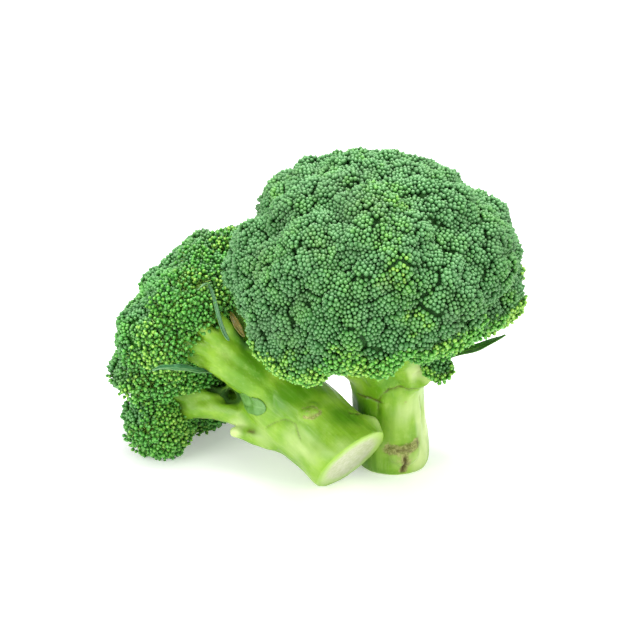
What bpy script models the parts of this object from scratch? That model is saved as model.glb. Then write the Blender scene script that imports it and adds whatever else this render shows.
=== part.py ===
# A bunch of two broccoli heads: one stands on its cut stem and one lies beside it, nestled against it.
# Each head is a pale stalk that forks into limbs, a crown of flower buds that the limbs end under,
# a small side floret on a shoot of its own, and a few slender leaves. Metres, +Z up.
import math

import bmesh
import bpy
import numpy as np
from mathutils import Matrix, Vector

# Driving dimensions
PIECE_GAP = 0.0006
CLUSTER_LIFT = 0.0009
CLUSTER_SCATTER = 0.28
GOLDEN_ANGLE = math.pi * (3 - math.sqrt(5))
UNDERSIDE_START = -0.6
LEAF_THICKNESS = 0.0009

# Where each head is: the centre of its cut, and the direction that its stem grows in.
STANDING_CUT = Vector((0.0375, 0.0, 0.0))
LYING_CUT = Vector((0.0155, -0.0357, 0.0171))
LYING_GROWTH = Vector((-0.664, 0.655, 0.362))
LYING_CUT_SLOPE = -0.249

# A crown is an oblate dome of lobes on a soft-edged underside, all from the centre of the cut. A lobe is
# (azimuth, elevation, radius, rise): its direction from the crown's centre in degrees, its own radius, and
# how far it stands out of the dome. "clusters" is how many bud clusters are above and under the rim.
STANDING_CROWN = {
    "centre": (-0.0110, -0.0140, 0.1090),
    "half": (0.0735, 0.0710, 0.0545),
    "lobes": (
        (-86, 19, 0.034, 0.001), (-126, 15, 0.032, 0.0), (-104, -7, 0.029, 0.001), (-150, 35, 0.032, -0.001),
        (-113, 60, 0.034, 0.001), (-45, 60, 0.032, 0.0), (-36, 38, 0.028, 0.001), (-28, 13, 0.030, 0.0),
        (-57, 1, 0.028, 0.0), (-79, -16, 0.022, 0.0), (-98, 39, 0.030, 0.001), (-141, -9, 0.028, 0.001),
        (-171, 3, 0.031, -0.001), (166, 38, 0.032, 0.001), (158, -10, 0.030, 0.0), (132, 12, 0.034, 0.0),
        (112, 46, 0.034, 0.0), (98, 2, 0.033, 0.0), (64, 20, 0.034, 0.0), (24, 47, 0.032, -0.001),
        (58, -14, 0.028, 0.0), (25, 2, 0.031, 0.0), (2, 13, 0.029, -0.001), (-12, -6, 0.026, -0.001),
        (70, 72, 0.034, 0.0015), (165, 66, 0.032, 0.001),
    ),
    "core": 0.885,
    "florets": 190,
    "floret_height": 0.0030,
    "axis": (-0.170, -0.180, 1.0),
    "underside": 0.0300,
    "hollow": 0.40,
    "clusters": (960, 100),
}
LYING_CROWN = {
    "centre": (0.0, 0.0, 0.1077),
    "half": (0.0590, 0.0580, 0.0430),
    "lobes": (
        (14, 4, 0.023, 0.0005), (-20, 0, 0.022, 0.0025), (-52, 16, 0.023, 0.002), (-84, 4, 0.024, 0.0),
        (-112, 10, 0.025, 0.0), (-148, 4, 0.026, 0.0), (176, 12, 0.026, 0.0), (142, 6, 0.026, 0.0),
        (110, 10, 0.024, 0.001), (80, 16, 0.022, 0.002), (50, 2, 0.022, 0.0), (42, 38, 0.022, -0.003),
        (4, 36, 0.023, -0.004), (-38, 50, 0.026, -0.001), (-100, 46, 0.028, 0.0), (-165, 44, 0.027, 0.0),
        (98, 46, 0.026, 0.0), (0, 86, 0.030, 0.0),
    ),
    "core": 0.83,
    "florets": 120,
    "floret_height": 0.0034,
    "axis": (-0.07, -0.12, 1.0),
    "underside": 0.0235,
    "hollow": 0.50,
    "clusters": (750, 90),
}
STANDING_SIDE_FLORET = {
    "centre": (0.0190, -0.0270, 0.0645),
    "half": (0.0088, 0.0088, 0.0078),
    "lobes": (
        (-90, 10, 0.005, 0.0), (-20, 10, 0.005, 0.0), (60, 10, 0.005, 0.0), (140, 10, 0.005, 0.0),
        (200, 10, 0.005, 0.0),
    ),
    "core": 0.86,
    "florets": 18,
    "floret_height": 0.0008,
    "axis": (0.45, -0.45, 0.78),
    "underside": 0.0060,
    "hollow": 0.0,
    "clusters": (50, 12),
}
LYING_LOW_FLORET = {
    "centre": (0.0332, -0.0340, 0.0972),
    "half": (0.0225, 0.0215, 0.0215),
    "lobes": (
        (-50, 5, 0.011, 0.0), (0, -5, 0.0105, 0.001), (50, 20, 0.010, 0.0), (-95, 25, 0.010, 0.0),
        (-40, 55, 0.011, 0.0), (-75, -30, 0.010, 0.001), (-25, -45, 0.009, 0.0), (110, 60, 0.010, 0.0),
        (-140, 40, 0.010, 0.0),
    ),
    "core": 0.80,
    "florets": 30,
    "floret_height": 0.0018,
    "axis": (0.36, -0.58, 0.73),
    "underside": 0.0120,
    "hollow": 0.0,
    "clusters": (180, 34),
}
# Where the lying crown parts to let the low floret's limb by: centre and radius, from the centre of the cut.
LOW_LIMB_CLEARING = ((0.0250, -0.0220, 0.0830), 0.0120)

# A stem is (x, y, height, radius) along its middle, from the centre of the cut.
STANDING_STEM = (
    (0, 0, 0, 0.0178), (0, 0, 0.004, 0.0190), (-0.0008, 0, 0.014, 0.0188), (-0.0020, 0, 0.026, 0.0184),
    (-0.0030, -0.0005, 0.040, 0.0187), (-0.0045, -0.0030, 0.054, 0.0196), (-0.0075, -0.0070, 0.070, 0.0190),
    (-0.0115, -0.0120, 0.092, 0.0150),
)
LYING_STEM = (
    (0, 0, 0, 0.0205), (0, 0, 0.005, 0.0211), (0, 0, 0.014, 0.0204), (0.0005, 0.0005, 0.028, 0.0203),
    (0.0015, 0.0010, 0.042, 0.0206), (0.0040, 0.0040, 0.056, 0.0185), (0.0055, 0.0075, 0.074, 0.0160),
    (0.0040, 0.0060, 0.098, 0.0120),
)
# A limb is (azimuth, start height, end distance from the crown's middle, end height, start and end radius).
STANDING_LIMBS = (
    (-152, 0.038, 0.042, 0.088, 0.0095, 0.0085),
    (-108, 0.041, 0.036, 0.086, 0.0100, 0.0090),
    (-62, 0.038, 0.036, 0.088, 0.0085, 0.0080),
    (-22, 0.034, 0.034, 0.088, 0.0105, 0.0080),
    (30, 0.044, 0.038, 0.090, 0.0090, 0.0080),
    (78, 0.042, 0.040, 0.090, 0.0095, 0.0085),
    (128, 0.046, 0.038, 0.088, 0.0090, 0.0080),
    (172, 0.042, 0.042, 0.088, 0.0090, 0.0080),
)
LYING_LIMBS = (
    (34, 0.044, 0.031, 0.094, 0.0125, 0.0105),
    (64, 0.048, 0.033, 0.094, 0.0125, 0.0100),
    (88, 0.054, 0.038, 0.096, 0.0088, 0.0066),
    (135, 0.048, 0.036, 0.094, 0.0105, 0.0085),
    (185, 0.044, 0.037, 0.094, 0.0100, 0.0085),
    (235, 0.042, 0.034, 0.094, 0.0095, 0.0080),
    (268, 0.042, 0.024, 0.092, 0.0090, 0.0075),
)
# A shoot is a list of (x, y, height, radius): the low florets' limbs, the cut leaf stalks and the leaf scars.
STANDING_SHOOTS = (
    ((0.002, -0.005, 0.042, 0.0045), (0.010, -0.0150, 0.050, 0.0042), (0.0165, -0.0235, 0.0590, 0.0038),
     (0.0188, -0.0265, 0.0640, 0.0036)),
    ((0.002, -0.008, 0.0100, 0.0092), (0.0050, -0.0172, 0.0145, 0.0084), (0.0054, -0.0188, 0.0155, 0.0062)),
)
LYING_SHOOTS = (
    ((0.003, -0.003, 0.026, 0.0105), (0.0095, -0.0085, 0.040, 0.0095), (0.0135, -0.0115, 0.054, 0.0076),
     (0.0185, -0.0145, 0.069, 0.0063), (0.0250, -0.0205, 0.082, 0.0058), (0.0305, -0.0300, 0.093, 0.0052)),
    ((0.008, -0.008, 0.028, 0.0070), (0.014, -0.0110, 0.038, 0.0062), (0.0200, -0.0150, 0.049, 0.0045),
     (0.0245, -0.0180, 0.0575, 0.0024)),
    ((0.005, 0.008, 0.0210, 0.0062), (0.0112, 0.0166, 0.0252, 0.0056), (0.0124, 0.0184, 0.0262, 0.0042)),
)
# A leaf is its base, its tip, the way its face turns, its width and how far its middle bows out.
STANDING_LEAVES = {
    "standing_leaf": ((0.0225, -0.006, 0.060), (0.0553, -0.003, 0.0705), (0.1, -0.45, 1.0), 0.0060, 0.0012),
}
LYING_LEAVES = {
    "lying_leaf_low": ((0.033, 0.0065, 0.076), (0.0636, 0.0164, 0.083), (0.75, 0.45, -0.7), 0.0060, 0.0010),
    "lying_leaf_high": ((0.020, 0.029, 0.074), (0.021, 0.045, 0.091), (1.0, 0.4, -0.2), 0.0046, 0.0016),
    "lying_leaf_fork": ((0.0262, 0.006, 0.045), (0.0295, -0.0005, 0.0665), (0.75, 0.65, -0.3), 0.008, 0.0014),
}

# Materials: colour, roughness
MATERIALS = {
    "florets": ((0.045, 0.135, 0.045), 0.62),
    "stalk": ((0.34, 0.53, 0.11), 0.48),
    "leaves": ((0.050, 0.165, 0.055), 0.50),
}


def clear_scene():
    for old in list(bpy.data.objects):
        bpy.data.objects.remove(old)


def make_material(name):
    colour, roughness = MATERIALS[name]
    material = bpy.data.materials.new(name)
    material.use_nodes = True
    shader = material.node_tree.nodes["Principled BSDF"]
    shader.inputs["Base Color"].default_value = (*colour, 1.0)
    shader.inputs["Roughness"].default_value = roughness
    shader.inputs["Metallic"].default_value = 0.0
    return material


def direction_of(azimuth, elevation):
    a, e = math.radians(azimuth), math.radians(elevation)
    return np.array((math.cos(a) * math.cos(e), math.sin(a) * math.cos(e), math.sin(e)))


def spiral_directions(count, top, bottom, rng, scatter=0.0):
    """Unit directions between two heights of the unit sphere, even but for their scatter, on a spiral."""
    step = np.arange(count)
    height = top - (step + 0.5) * (top - bottom) / count
    ring = np.sqrt(1 - height**2)
    turn = step * GOLDEN_ANGLE
    even = np.stack((np.cos(turn) * ring, np.sin(turn) * ring, height), axis=1)
    pitch = math.sqrt(2 * math.pi * (top - bottom) / count)
    moved = even + rng.uniform(-scatter, scatter, even.shape) * pitch
    return moved / np.linalg.norm(moved, axis=1)[:, None]


def soft_min(a, b, width):
    share = np.clip(0.5 + 0.5 * (b - a) / width, 0, 1)
    return b * (1 - share) + a * share - width * share * (1 - share)


def dome_reach(directions, half):
    return 1 / np.sqrt(((directions / np.array(half)) ** 2).sum(axis=1))


def crown_reach(directions, crown):
    """How far the crown's surface is from its centre, in each direction."""
    reach = dome_reach(directions, crown["half"]) * crown["core"]
    for azimuth, elevation, radius, rise in crown["lobes"]:
        out = direction_of(azimuth, elevation)
        centre = out * (dome_reach(out[None], crown["half"])[0] + rise - radius)
        along = directions @ centre
        under_root = radius**2 - centre @ centre + along**2
        far = along + np.sqrt(np.maximum(under_root, 0))
        reach = np.where(under_root > 0, np.maximum(reach, far), reach)
    # Florets: a low dome round each of a set of directions, with a crease where two meet.
    florets = spiral_directions(crown["florets"], 1, -1, np.random.default_rng(7), CLUSTER_SCATTER)
    nearest = (directions @ florets.T).max(axis=1)
    half_width = 2 / math.sqrt(crown["florets"])
    swell = 1 - (np.arccos(np.clip(nearest, -1, 1)) / half_width) ** 2
    reach = reach + crown["floret_height"] * (swell - 0.6)
    # The underside is a soft-edged plane, hollowed in the middle where the limbs gather.
    axis = np.array(crown["axis"]) / np.linalg.norm(crown["axis"])
    facing = directions @ axis
    plane = np.where(facing < -0.05, crown["underside"] / np.maximum(-facing, 0.05), 1.0)
    reach = soft_min(reach, plane, 0.010)
    downward = np.arccos(np.clip(-facing, -1, 1))
    return reach * (1 - crown["hollow"] * np.exp(-((downward / 0.55) ** 2)))


def room_beside(directions, centre, frame, neighbour):
    """How far each direction runs from the centre, both in the frame, before the neighbour's dome."""
    neighbour_frame, neighbour_centre, neighbour_half = neighbour
    to_neighbour = neighbour_frame.inverted() @ frame
    half = np.array(neighbour_half)
    start = (np.array(to_neighbour @ Vector(centre)) - np.array(neighbour_centre)) / half
    ray = directions @ np.array(to_neighbour.to_3x3()).T / half
    a = (ray**2).sum(axis=1)
    b = ray @ start
    c = start @ start - 1
    under_root = b * b - a * c
    meets = (under_root > 0) & (b < 0)
    return np.where(meets, (-b - np.sqrt(np.maximum(under_root, 0))) / a, 1.0)


def cluster_mesh(name, crown, frame, neighbours, coarse=False):
    """A closed crown with one low six-sided knob for each bud cluster. The coarse one is the plain, slightly
    larger solid that the limbs are trimmed with."""
    rng = np.random.default_rng(3)
    upper, lower = crown["clusters"]
    scatter = 0.0 if coarse else CLUSTER_SCATTER
    if coarse:
        upper = max(upper // 2, 60)
    above = spiral_directions(upper, 1, UNDERSIDE_START, rng, scatter)
    below = spiral_directions(lower, UNDERSIDE_START, -1, rng, scatter)
    bm = bmesh.new()
    for peak in np.concatenate((above, below)):
        bm.verts.new(peak)
    bmesh.ops.convex_hull(bm, input=bm.verts[:])
    bmesh.ops.recalc_face_normals(bm, faces=bm.faces[:])
    valleys = set()
    if not coarse:
        ridges = bm.edges[:]
        valleys = set(bmesh.ops.poke(bm, faces=bm.faces[:])["verts"])
        bmesh.ops.rotate_edges(bm, edges=ridges)
    directions = np.array([v.co.normalized() for v in bm.verts])
    lift = np.array([-CLUSTER_LIFT if v in valleys else CLUSTER_LIFT for v in bm.verts])
    if coarse:
        lift = lift + PIECE_GAP + 0.0018
    reach = crown_reach(directions, crown)
    for neighbour in neighbours:
        reach = soft_min(reach, room_beside(directions, crown["centre"], frame, neighbour), 0.005)
    points = directions * (reach + lift)[:, None] + np.array(crown["centre"])
    for vert, point in zip(bm.verts, points):
        vert.co = point
    mesh = bpy.data.meshes.new(name)
    bm.to_mesh(mesh)
    bm.free()
    return mesh


def add_object(name, mesh, collection):
    obj = bpy.data.objects.new(name, mesh)
    collection.objects.link(obj)
    return obj


def tube(name, stations, collection, resolution):
    """A smooth tube through (x, y, z, radius) stations, made a closed mesh."""
    curve = bpy.data.curves.new(name, "CURVE")
    curve.dimensions = "3D"
    curve.resolution_u = 2
    curve.bevel_depth = 1.0
    curve.bevel_resolution = resolution
    curve.use_fill_caps = True
    spline = curve.splines.new("BEZIER")
    spline.radius_interpolation = "CARDINAL"
    spline.bezier_points.add(len(stations) - 1)
    for point, (x, y, z, radius) in zip(spline.bezier_points, stations):
        point.co = (x, y, z)
        point.radius = radius
        point.handle_left_type = point.handle_right_type = "AUTO"
    guide = bpy.data.objects.new(name, curve)
    collection.objects.link(guide)
    bpy.context.view_layer.update()
    evaluated = guide.evaluated_get(bpy.context.evaluated_depsgraph_get())
    mesh = bpy.data.meshes.new_from_object(evaluated)
    bpy.data.objects.remove(guide)
    bm = bmesh.new()
    bm.from_mesh(mesh)
    bmesh.ops.remove_doubles(bm, verts=bm.verts, dist=1e-6)
    bmesh.ops.recalc_face_normals(bm, faces=bm.faces)
    bm.to_mesh(mesh)
    bm.free()
    return add_object(name, mesh, collection)


def limb_stations(limb, stem, crown):
    """A limb leaves the stem's middle and curves out to its end under the crown."""
    azimuth, start_height, spread, end_height, start_radius, end_radius = limb
    heights = [s[2] for s in stem]
    start = np.array([np.interp(start_height, heights, [s[i] for s in stem]) for i in (0, 1)])
    out = np.array((math.cos(math.radians(azimuth)), math.sin(math.radians(azimuth))))
    end = np.array(crown["centre"][:2]) + out * spread
    stations = []
    for along, outward in ((0, 0), (0.42, 0.36), (0.74, 0.70), (1, 1)):
        x, y = start + (end - start) * outward
        z = start_height + (end_height - start_height) * along
        stations.append((x, y, z, start_radius + (end_radius - start_radius) * along))
    return stations


def combine(obj, operation, other):
    """Joins or cuts the object with another, or with a collection of them, which is then removed."""
    modifier = obj.modifiers.new(operation, "BOOLEAN")
    modifier.operation = operation
    modifier.solver = "EXACT"
    if isinstance(other, bpy.types.Collection):
        modifier.operand_type = "COLLECTION"
        modifier.collection = other
        used = list(other.objects)
    else:
        modifier.object = other
        used = [other]
    bpy.context.view_layer.update()
    evaluated = obj.evaluated_get(bpy.context.evaluated_depsgraph_get())
    result = bpy.data.meshes.new_from_object(evaluated)
    obj.modifiers.clear()
    obj.data = result
    for helper in used:
        bpy.data.objects.remove(helper)


def keep_largest_body(obj):
    """Removes the slivers that a trim cut loose."""
    bm = bmesh.new()
    bm.from_mesh(obj.data)
    unseen = set(bm.verts)
    bodies = []
    while unseen:
        body = {unseen.pop()}
        front = list(body)
        while front:
            vert = front.pop()
            reached = {edge.other_vert(vert) for edge in vert.link_edges} - body
            body |= reached
            front += reached
        unseen -= body
        bodies.append(body)
    bodies.sort(key=len)
    for body in bodies[:-1]:
        bmesh.ops.delete(bm, geom=list(body), context="VERTS")
    bm.to_mesh(obj.data)
    bm.free()


def press_beside(obj, frame, dome):
    """What would reach into a neighbour's dome is pressed out to its surface. The object is in the frame."""
    dome_frame, centre, half = dome
    to_dome = dome_frame.inverted() @ frame
    middle = Vector(centre)
    for vert in obj.data.vertices:
        away = to_dome @ vert.co - middle
        depth = Vector(a / h for a, h in zip(away, half)).length
        if depth < 1:
            vert.co = to_dome.inverted() @ (middle + away / depth)


def make_stalk(prefix, build, crown, frame, crown_cutters, collection, helpers):
    """The stem, its limbs and its shoots, joined in one solid and trimmed just short of the crowns."""
    name = prefix + "_stalk"
    stem = build["stem"]
    stalk = tube(name, stem, collection, 9)
    for vert in stalk.data.vertices:
        vert.co.z += build["cut_slope"] * vert.co.y * max(0.0, 1 - vert.co.z / 0.024)
    branches = bpy.data.collections.new(name + "_branches")
    helpers.children.link(branches)
    for number, limb in enumerate(build["limbs"]):
        tube(f"{name}_limb_{number}", limb_stations(limb, stem, crown), branches, 3)
    for number, shoot in enumerate(build["shoots"]):
        tube(f"{name}_shoot_{number}", shoot, branches, 3)
    combine(stalk, "UNION", branches)
    for dome in build["pressed_by"]:
        press_beside(stalk, frame, dome)
    for cutter in crown_cutters:
        combine(stalk, "DIFFERENCE", cutter)
    keep_largest_body(stalk)
    return stalk


def make_leaf(name, leaf, collection):
    """A slender blade, cupped and bowed, and pointed at its tip."""
    base, tip, facing, width, bow = leaf
    base, tip = Vector(base), Vector(tip)
    along = tip - base
    face = Vector(facing)
    face = (face - along.normalized() * face.dot(along.normalized())).normalized()
    across = along.normalized().cross(face)
    bm = bmesh.new()
    bmesh.ops.create_grid(bm, x_segments=4, y_segments=8, size=0.5)
    for vert in bm.verts:
        side, run = vert.co.x, vert.co.y + 0.5
        blade_width = width * (0.30 + 0.95 * math.sin(math.pi * run**0.8) ** 0.8) * (1 - 0.55 * run**6)
        cup = 1.6 * width * side**2
        wave = 0.06 * width * math.sin(run * 14) * abs(side) * 2
        vert.co = base + along * run + across * side * blade_width
        vert.co += face * (bow * math.sin(math.pi * run) - cup + wave)
    mesh = bpy.data.meshes.new(name)
    bm.to_mesh(mesh)
    bm.free()
    obj = add_object(name, mesh, collection)
    solidify = obj.modifiers.new("Thickness", "SOLIDIFY")
    solidify.thickness = LEAF_THICKNESS
    solidify.offset = 0
    triangulate = obj.modifiers.new("Triangles", "TRIANGULATE")
    triangulate.quad_method = "FIXED"
    return obj


def place(name, objects, frame, collection):
    """Parents a head's pieces to an empty at its cut, turned so that the stem grows along the frame's Z."""
    root = bpy.data.objects.new(name, None)
    root.matrix_world = frame
    collection.objects.link(root)
    for obj in objects:
        obj.parent = root
    return root


def press_to_table(objects):
    """What would reach below the table is flattened against it."""
    bpy.context.view_layer.update()
    for obj in objects:
        inverse = obj.matrix_world.inverted()
        for vert in obj.data.vertices:
            world = obj.matrix_world @ vert.co
            if world.z < 0:
                vert.co = inverse @ Vector((world.x, world.y, 0))


def centre_on_footprint(roots, objects):
    """Moves the bunch so that the middle of its bounding box's base is the origin."""
    bpy.context.view_layer.update()
    graph = bpy.context.evaluated_depsgraph_get()
    corners = []
    for obj in objects:
        evaluated = obj.evaluated_get(graph)
        corners += [evaluated.matrix_world @ v.co for v in evaluated.to_mesh().vertices]
    low = np.min(corners, axis=0)
    high = np.max(corners, axis=0)
    shift = Vector((-(low[0] + high[0]) / 2, -(low[1] + high[1]) / 2, -low[2]))
    for root in roots:
        root.location += shift


def make_head(prefix, build, frame, collection, helpers):
    """One head in its own frame: the cut at the origin, the stem along +Z. The first shape is the crown."""
    made = {"florets": [], "stalk": [], "leaves": []}
    cutters = []
    for number, (name, shape) in enumerate(build["shapes"].items()):
        beside = build["crown_beside"] if number == 0 else []
        made["florets"].append(add_object(name, cluster_mesh(name, shape, frame, beside), collection))
        larger = cluster_mesh(name + "_room", shape, frame, beside, coarse=True)
        cutters.append(add_object(name + "_room", larger, helpers))
    crown = next(iter(build["shapes"].values()))
    made["stalk"].append(make_stalk(prefix, build, crown, frame, cutters, collection, helpers))
    for name, leaf in build["leaves"].items():
        made["leaves"].append(make_leaf(name, leaf, collection))
    return made


def dome_beside(frame, crown, margin):
    return frame, crown["centre"], [half + margin for half in crown["half"]]


def main():
    clear_scene()
    collection = bpy.data.collections.new("broccoli_bunch")
    helpers = bpy.data.collections.new("helpers")
    for made in (collection, helpers):
        bpy.context.scene.collection.children.link(made)
    materials = {name: make_material(name) for name in MATERIALS}

    upright = Matrix.Translation(STANDING_CUT)
    lying = Matrix.Translation(LYING_CUT) @ LYING_GROWTH.to_track_quat("Z", "Y").to_matrix().to_4x4()
    standing_build = {
        "shapes": {"standing_crown": STANDING_CROWN, "standing_side_floret": STANDING_SIDE_FLORET},
        "crown_beside": [dome_beside(upright, STANDING_SIDE_FLORET, 0.003)],
        "stem": STANDING_STEM,
        "limbs": STANDING_LIMBS,
        "shoots": STANDING_SHOOTS,
        "leaves": STANDING_LEAVES,
        "cut_slope": 0.0,
        "pressed_by": [],
    }
    clearing, clearing_radius = LOW_LIMB_CLEARING
    lying_build = {
        "shapes": {"lying_crown": LYING_CROWN, "lying_low_floret": LYING_LOW_FLORET},
        "crown_beside": [
            dome_beside(upright, STANDING_CROWN, 0.0055),
            dome_beside(lying, LYING_LOW_FLORET, 0.003),
            (lying, clearing, [clearing_radius] * 3),
        ],
        "stem": LYING_STEM,
        "limbs": LYING_LIMBS,
        "shoots": LYING_SHOOTS,
        "leaves": LYING_LEAVES,
        "cut_slope": LYING_CUT_SLOPE,
        "pressed_by": [dome_beside(upright, STANDING_CROWN, 0.0045)],
    }
    standing = make_head("standing", standing_build, upright, collection, helpers)
    laid = make_head("lying", lying_build, lying, collection, helpers)
    for head in (standing, laid):
        for slot, objects in head.items():
            for obj in objects:
                obj.data.materials.clear()
                obj.data.materials.append(materials[slot])

    standing_pieces = [obj for objects in standing.values() for obj in objects]
    laid_pieces = [obj for objects in laid.values() for obj in objects]
    roots = [
        place("standing_head", standing_pieces, upright, collection),
        place("lying_head", laid_pieces, lying, collection),
    ]
    press_to_table(laid["florets"] + laid["stalk"])
    centre_on_footprint(roots, standing_pieces + laid_pieces)
    for child in list(helpers.children):
        bpy.data.collections.remove(child)
    bpy.data.collections.remove(helpers)


main()
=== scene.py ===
import math

import bpy
import numpy as np
from mathutils import Matrix, Vector
from mathutils.bvhtree import BVHTree
from mathutils.kdtree import KDTree


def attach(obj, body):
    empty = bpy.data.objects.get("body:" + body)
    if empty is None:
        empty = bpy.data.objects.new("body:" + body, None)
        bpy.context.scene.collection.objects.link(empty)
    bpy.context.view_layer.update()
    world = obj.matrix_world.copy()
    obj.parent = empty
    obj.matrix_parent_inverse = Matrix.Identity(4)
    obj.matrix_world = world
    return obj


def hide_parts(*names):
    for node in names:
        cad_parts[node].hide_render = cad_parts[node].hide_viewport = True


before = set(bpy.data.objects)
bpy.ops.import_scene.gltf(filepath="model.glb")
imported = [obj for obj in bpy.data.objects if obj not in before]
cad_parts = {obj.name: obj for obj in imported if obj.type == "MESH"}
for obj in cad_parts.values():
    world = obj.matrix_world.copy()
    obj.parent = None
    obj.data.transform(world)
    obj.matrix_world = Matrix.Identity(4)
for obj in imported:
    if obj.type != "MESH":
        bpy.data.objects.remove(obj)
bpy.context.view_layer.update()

# Each head has its own space: the middle of its cut at the origin, its stem growing along +Z.
lyingGrowth = Vector((-0.664, 0.655, 0.362))
heads = {
    "standing": Matrix.Translation((0.04329, -0.00142, 0.0)),
    "lying": Matrix.Translation((0.02129, -0.03712, 0.0171))
    @ lyingGrowth.to_track_quat("Z", "Y").to_matrix().to_4x4(),
}


def selectOnly(*pieces):
    bpy.ops.object.select_all(action="DESELECT")
    for piece in pieces:
        piece.select_set(True)
    bpy.context.view_layer.objects.active = pieces[0]


def inEditMode(piece, *steps):
    selectOnly(piece)
    bpy.ops.object.mode_set(mode="EDIT")
    bpy.ops.mesh.select_all(action="SELECT")
    for step in steps:
        step()
    bpy.ops.object.mode_set(mode="OBJECT")


def applied(piece, kind, **settings):
    modifier = piece.modifiers.new(kind.title(), kind)
    for setting, value in settings.items():
        setattr(modifier, setting, value)
    selectOnly(piece)
    bpy.ops.object.modifier_apply(modifier=modifier.name)


def copyOfNode(node, name):
    piece = bpy.data.objects.new(name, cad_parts[node].data.copy())
    bpy.context.scene.collection.objects.link(piece)
    piece.data.name = name
    piece.data.materials.clear()
    selectOnly(piece)
    bpy.ops.mesh.customdata_custom_splitnormals_clear()
    inEditMode(piece, lambda: bpy.ops.mesh.remove_doubles(threshold=0.00002))
    return piece


def pointsOf(piece):
    points = np.empty(len(piece.data.vertices) * 3)
    piece.data.vertices.foreach_get("co", points)
    return points.reshape(-1, 3)


def normalsOf(piece):
    normals = np.empty(len(piece.data.vertices) * 3)
    piece.data.vertex_normals.foreach_get("vector", normals)
    return normals.reshape(-1, 3)


def movePoints(piece, points):
    piece.data.vertices.foreach_set("co", points.astype(np.float32).ravel())
    piece.data.update()


def shadeSmooth(piece):
    piece.data.polygons.foreach_set("use_smooth", np.ones(len(piece.data.polygons), bool))


# Named values on a piece's points, which its material reads
def setMarks(piece, marks):
    for mark, values in marks.items():
        layer = piece.data.attributes.new(mark, "FLOAT", "POINT")
        layer.data.foreach_set("value", values.astype(np.float32))


def surfaceOf(piece):
    return BVHTree.FromPolygons(
        [v.co for v in piece.data.vertices], [p.vertices[:] for p in piece.data.polygons]
    )


def unit(vectors):
    return vectors / np.maximum(np.linalg.norm(vectors, axis=-1, keepdims=True), 1e-12)


def smoothStep(low, high, values):
    share = np.clip((values - low) / (high - low), 0, 1)
    return share * share * (3 - 2 * share)


# Soft random patches between -1 and 1, each about a size across
def patches(points, size, seed):
    rng = np.random.default_rng(seed)
    count = 14
    waves = unit(rng.normal(size=(count, 3))) * rng.uniform(0.7, 1.4, (count, 1)) * 2 * math.pi / (2.2 * size)
    phases = rng.uniform(0, 2 * math.pi, count)
    return np.clip(np.sin(points @ waves.T + phases).sum(axis=1) / 4.2, -1, 1)


def toHead(points, head):
    inverse = np.array(heads[head].inverted())
    return points @ inverse[:3, :3].T + inverse[:3, 3]


# A direction of a head's own space, turned to the scene's
def turnedOut(direction, head):
    return np.array(heads[head].to_3x3() @ Vector(direction))


# Shader maths: a wire is a node's output, and an expression on wires adds its Math nodes.
class Wire:
    def __init__(self, finish, socket):
        self.finish = finish
        self.socket = socket

    def __add__(self, other):
        return self.finish.maths("ADD", self, other)

    def __sub__(self, other):
        return self.finish.maths("SUBTRACT", self, other)

    def __rsub__(self, other):
        return self.finish.maths("SUBTRACT", other, self)

    def __mul__(self, other):
        return self.finish.maths("MULTIPLY", self, other)

    def __pow__(self, other):
        return self.finish.maths("POWER", self, other)

    __radd__ = __add__
    __rmul__ = __mul__


# A material. Its methods add nodes and give back wires; shades and colours go through mix.
class Finish:
    def __init__(self, name, **shaderValues):
        self.material = bpy.data.materials.new(name)
        self.material.use_nodes = True
        self.tree = self.material.node_tree
        self.shader = self.tree.nodes["Principled BSDF"]
        for socket, value in shaderValues.items():
            self.shader.inputs[socket.replace("_", " ")].default_value = value

    def node(self, kind, settings=None, inputs=None, output=0):
        made = self.tree.nodes.new(kind)
        for setting, value in (settings or {}).items():
            setattr(made, setting, value)
        for socket, value in (inputs or {}).items():
            if isinstance(value, Wire):
                self.tree.links.new(value.socket, made.inputs[socket])
            else:
                made.inputs[socket].default_value = value
        return Wire(self, made.outputs[output])

    def maths(self, operation, *values):
        return self.node("ShaderNodeMath", {"operation": operation}, dict(enumerate(values)))

    def clamped(self, value):
        return self.node("ShaderNodeMath", {"operation": "ADD", "use_clamp": True}, {0: value, 1: 0.0})

    def ramped(self, value, low, high):
        return self.node(
            "ShaderNodeMapRange", {"interpolation_type": "SMOOTHSTEP"}, {0: value, 1: low, 2: high}
        )

    def mix(self, share, first, second):
        first, second = [c if isinstance(c, Wire) else (*c, 1.0) for c in (first, second)]
        return self.node("ShaderNodeMix", {"data_type": "RGBA"}, {0: share, 6: first, 7: second}, 2)

    def attribute(self, name):
        return self.node("ShaderNodeAttribute", {"attribute_name": name}, output="Fac")

    def place(self):
        return self.node("ShaderNodeTexCoord", output="Object")

    def noise(self, where, scale, detail, rough=0.5):
        inputs = {"Vector": where, "Scale": scale, "Detail": detail, "Roughness": rough}
        return self.node("ShaderNodeTexNoise", inputs=inputs)

    def stretched(self, where, scale):
        return self.node("ShaderNodeMapping", inputs={"Vector": where, "Scale": scale})

    def axes(self, where):
        parts = self.node("ShaderNodeSeparateXYZ", inputs={"Vector": where}).socket.node
        return [Wire(self, output) for output in parts.outputs]

    def feed(self, **sockets):
        for socket, value in sockets.items():
            self.tree.links.new(value.socket, self.shader.inputs[socket.replace("_", " ")])

    def bump(self, height, strength, distance):
        inputs = {"Height": height, "Strength": strength, "Distance": distance}
        return self.node("ShaderNodeBump", inputs=inputs)


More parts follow.
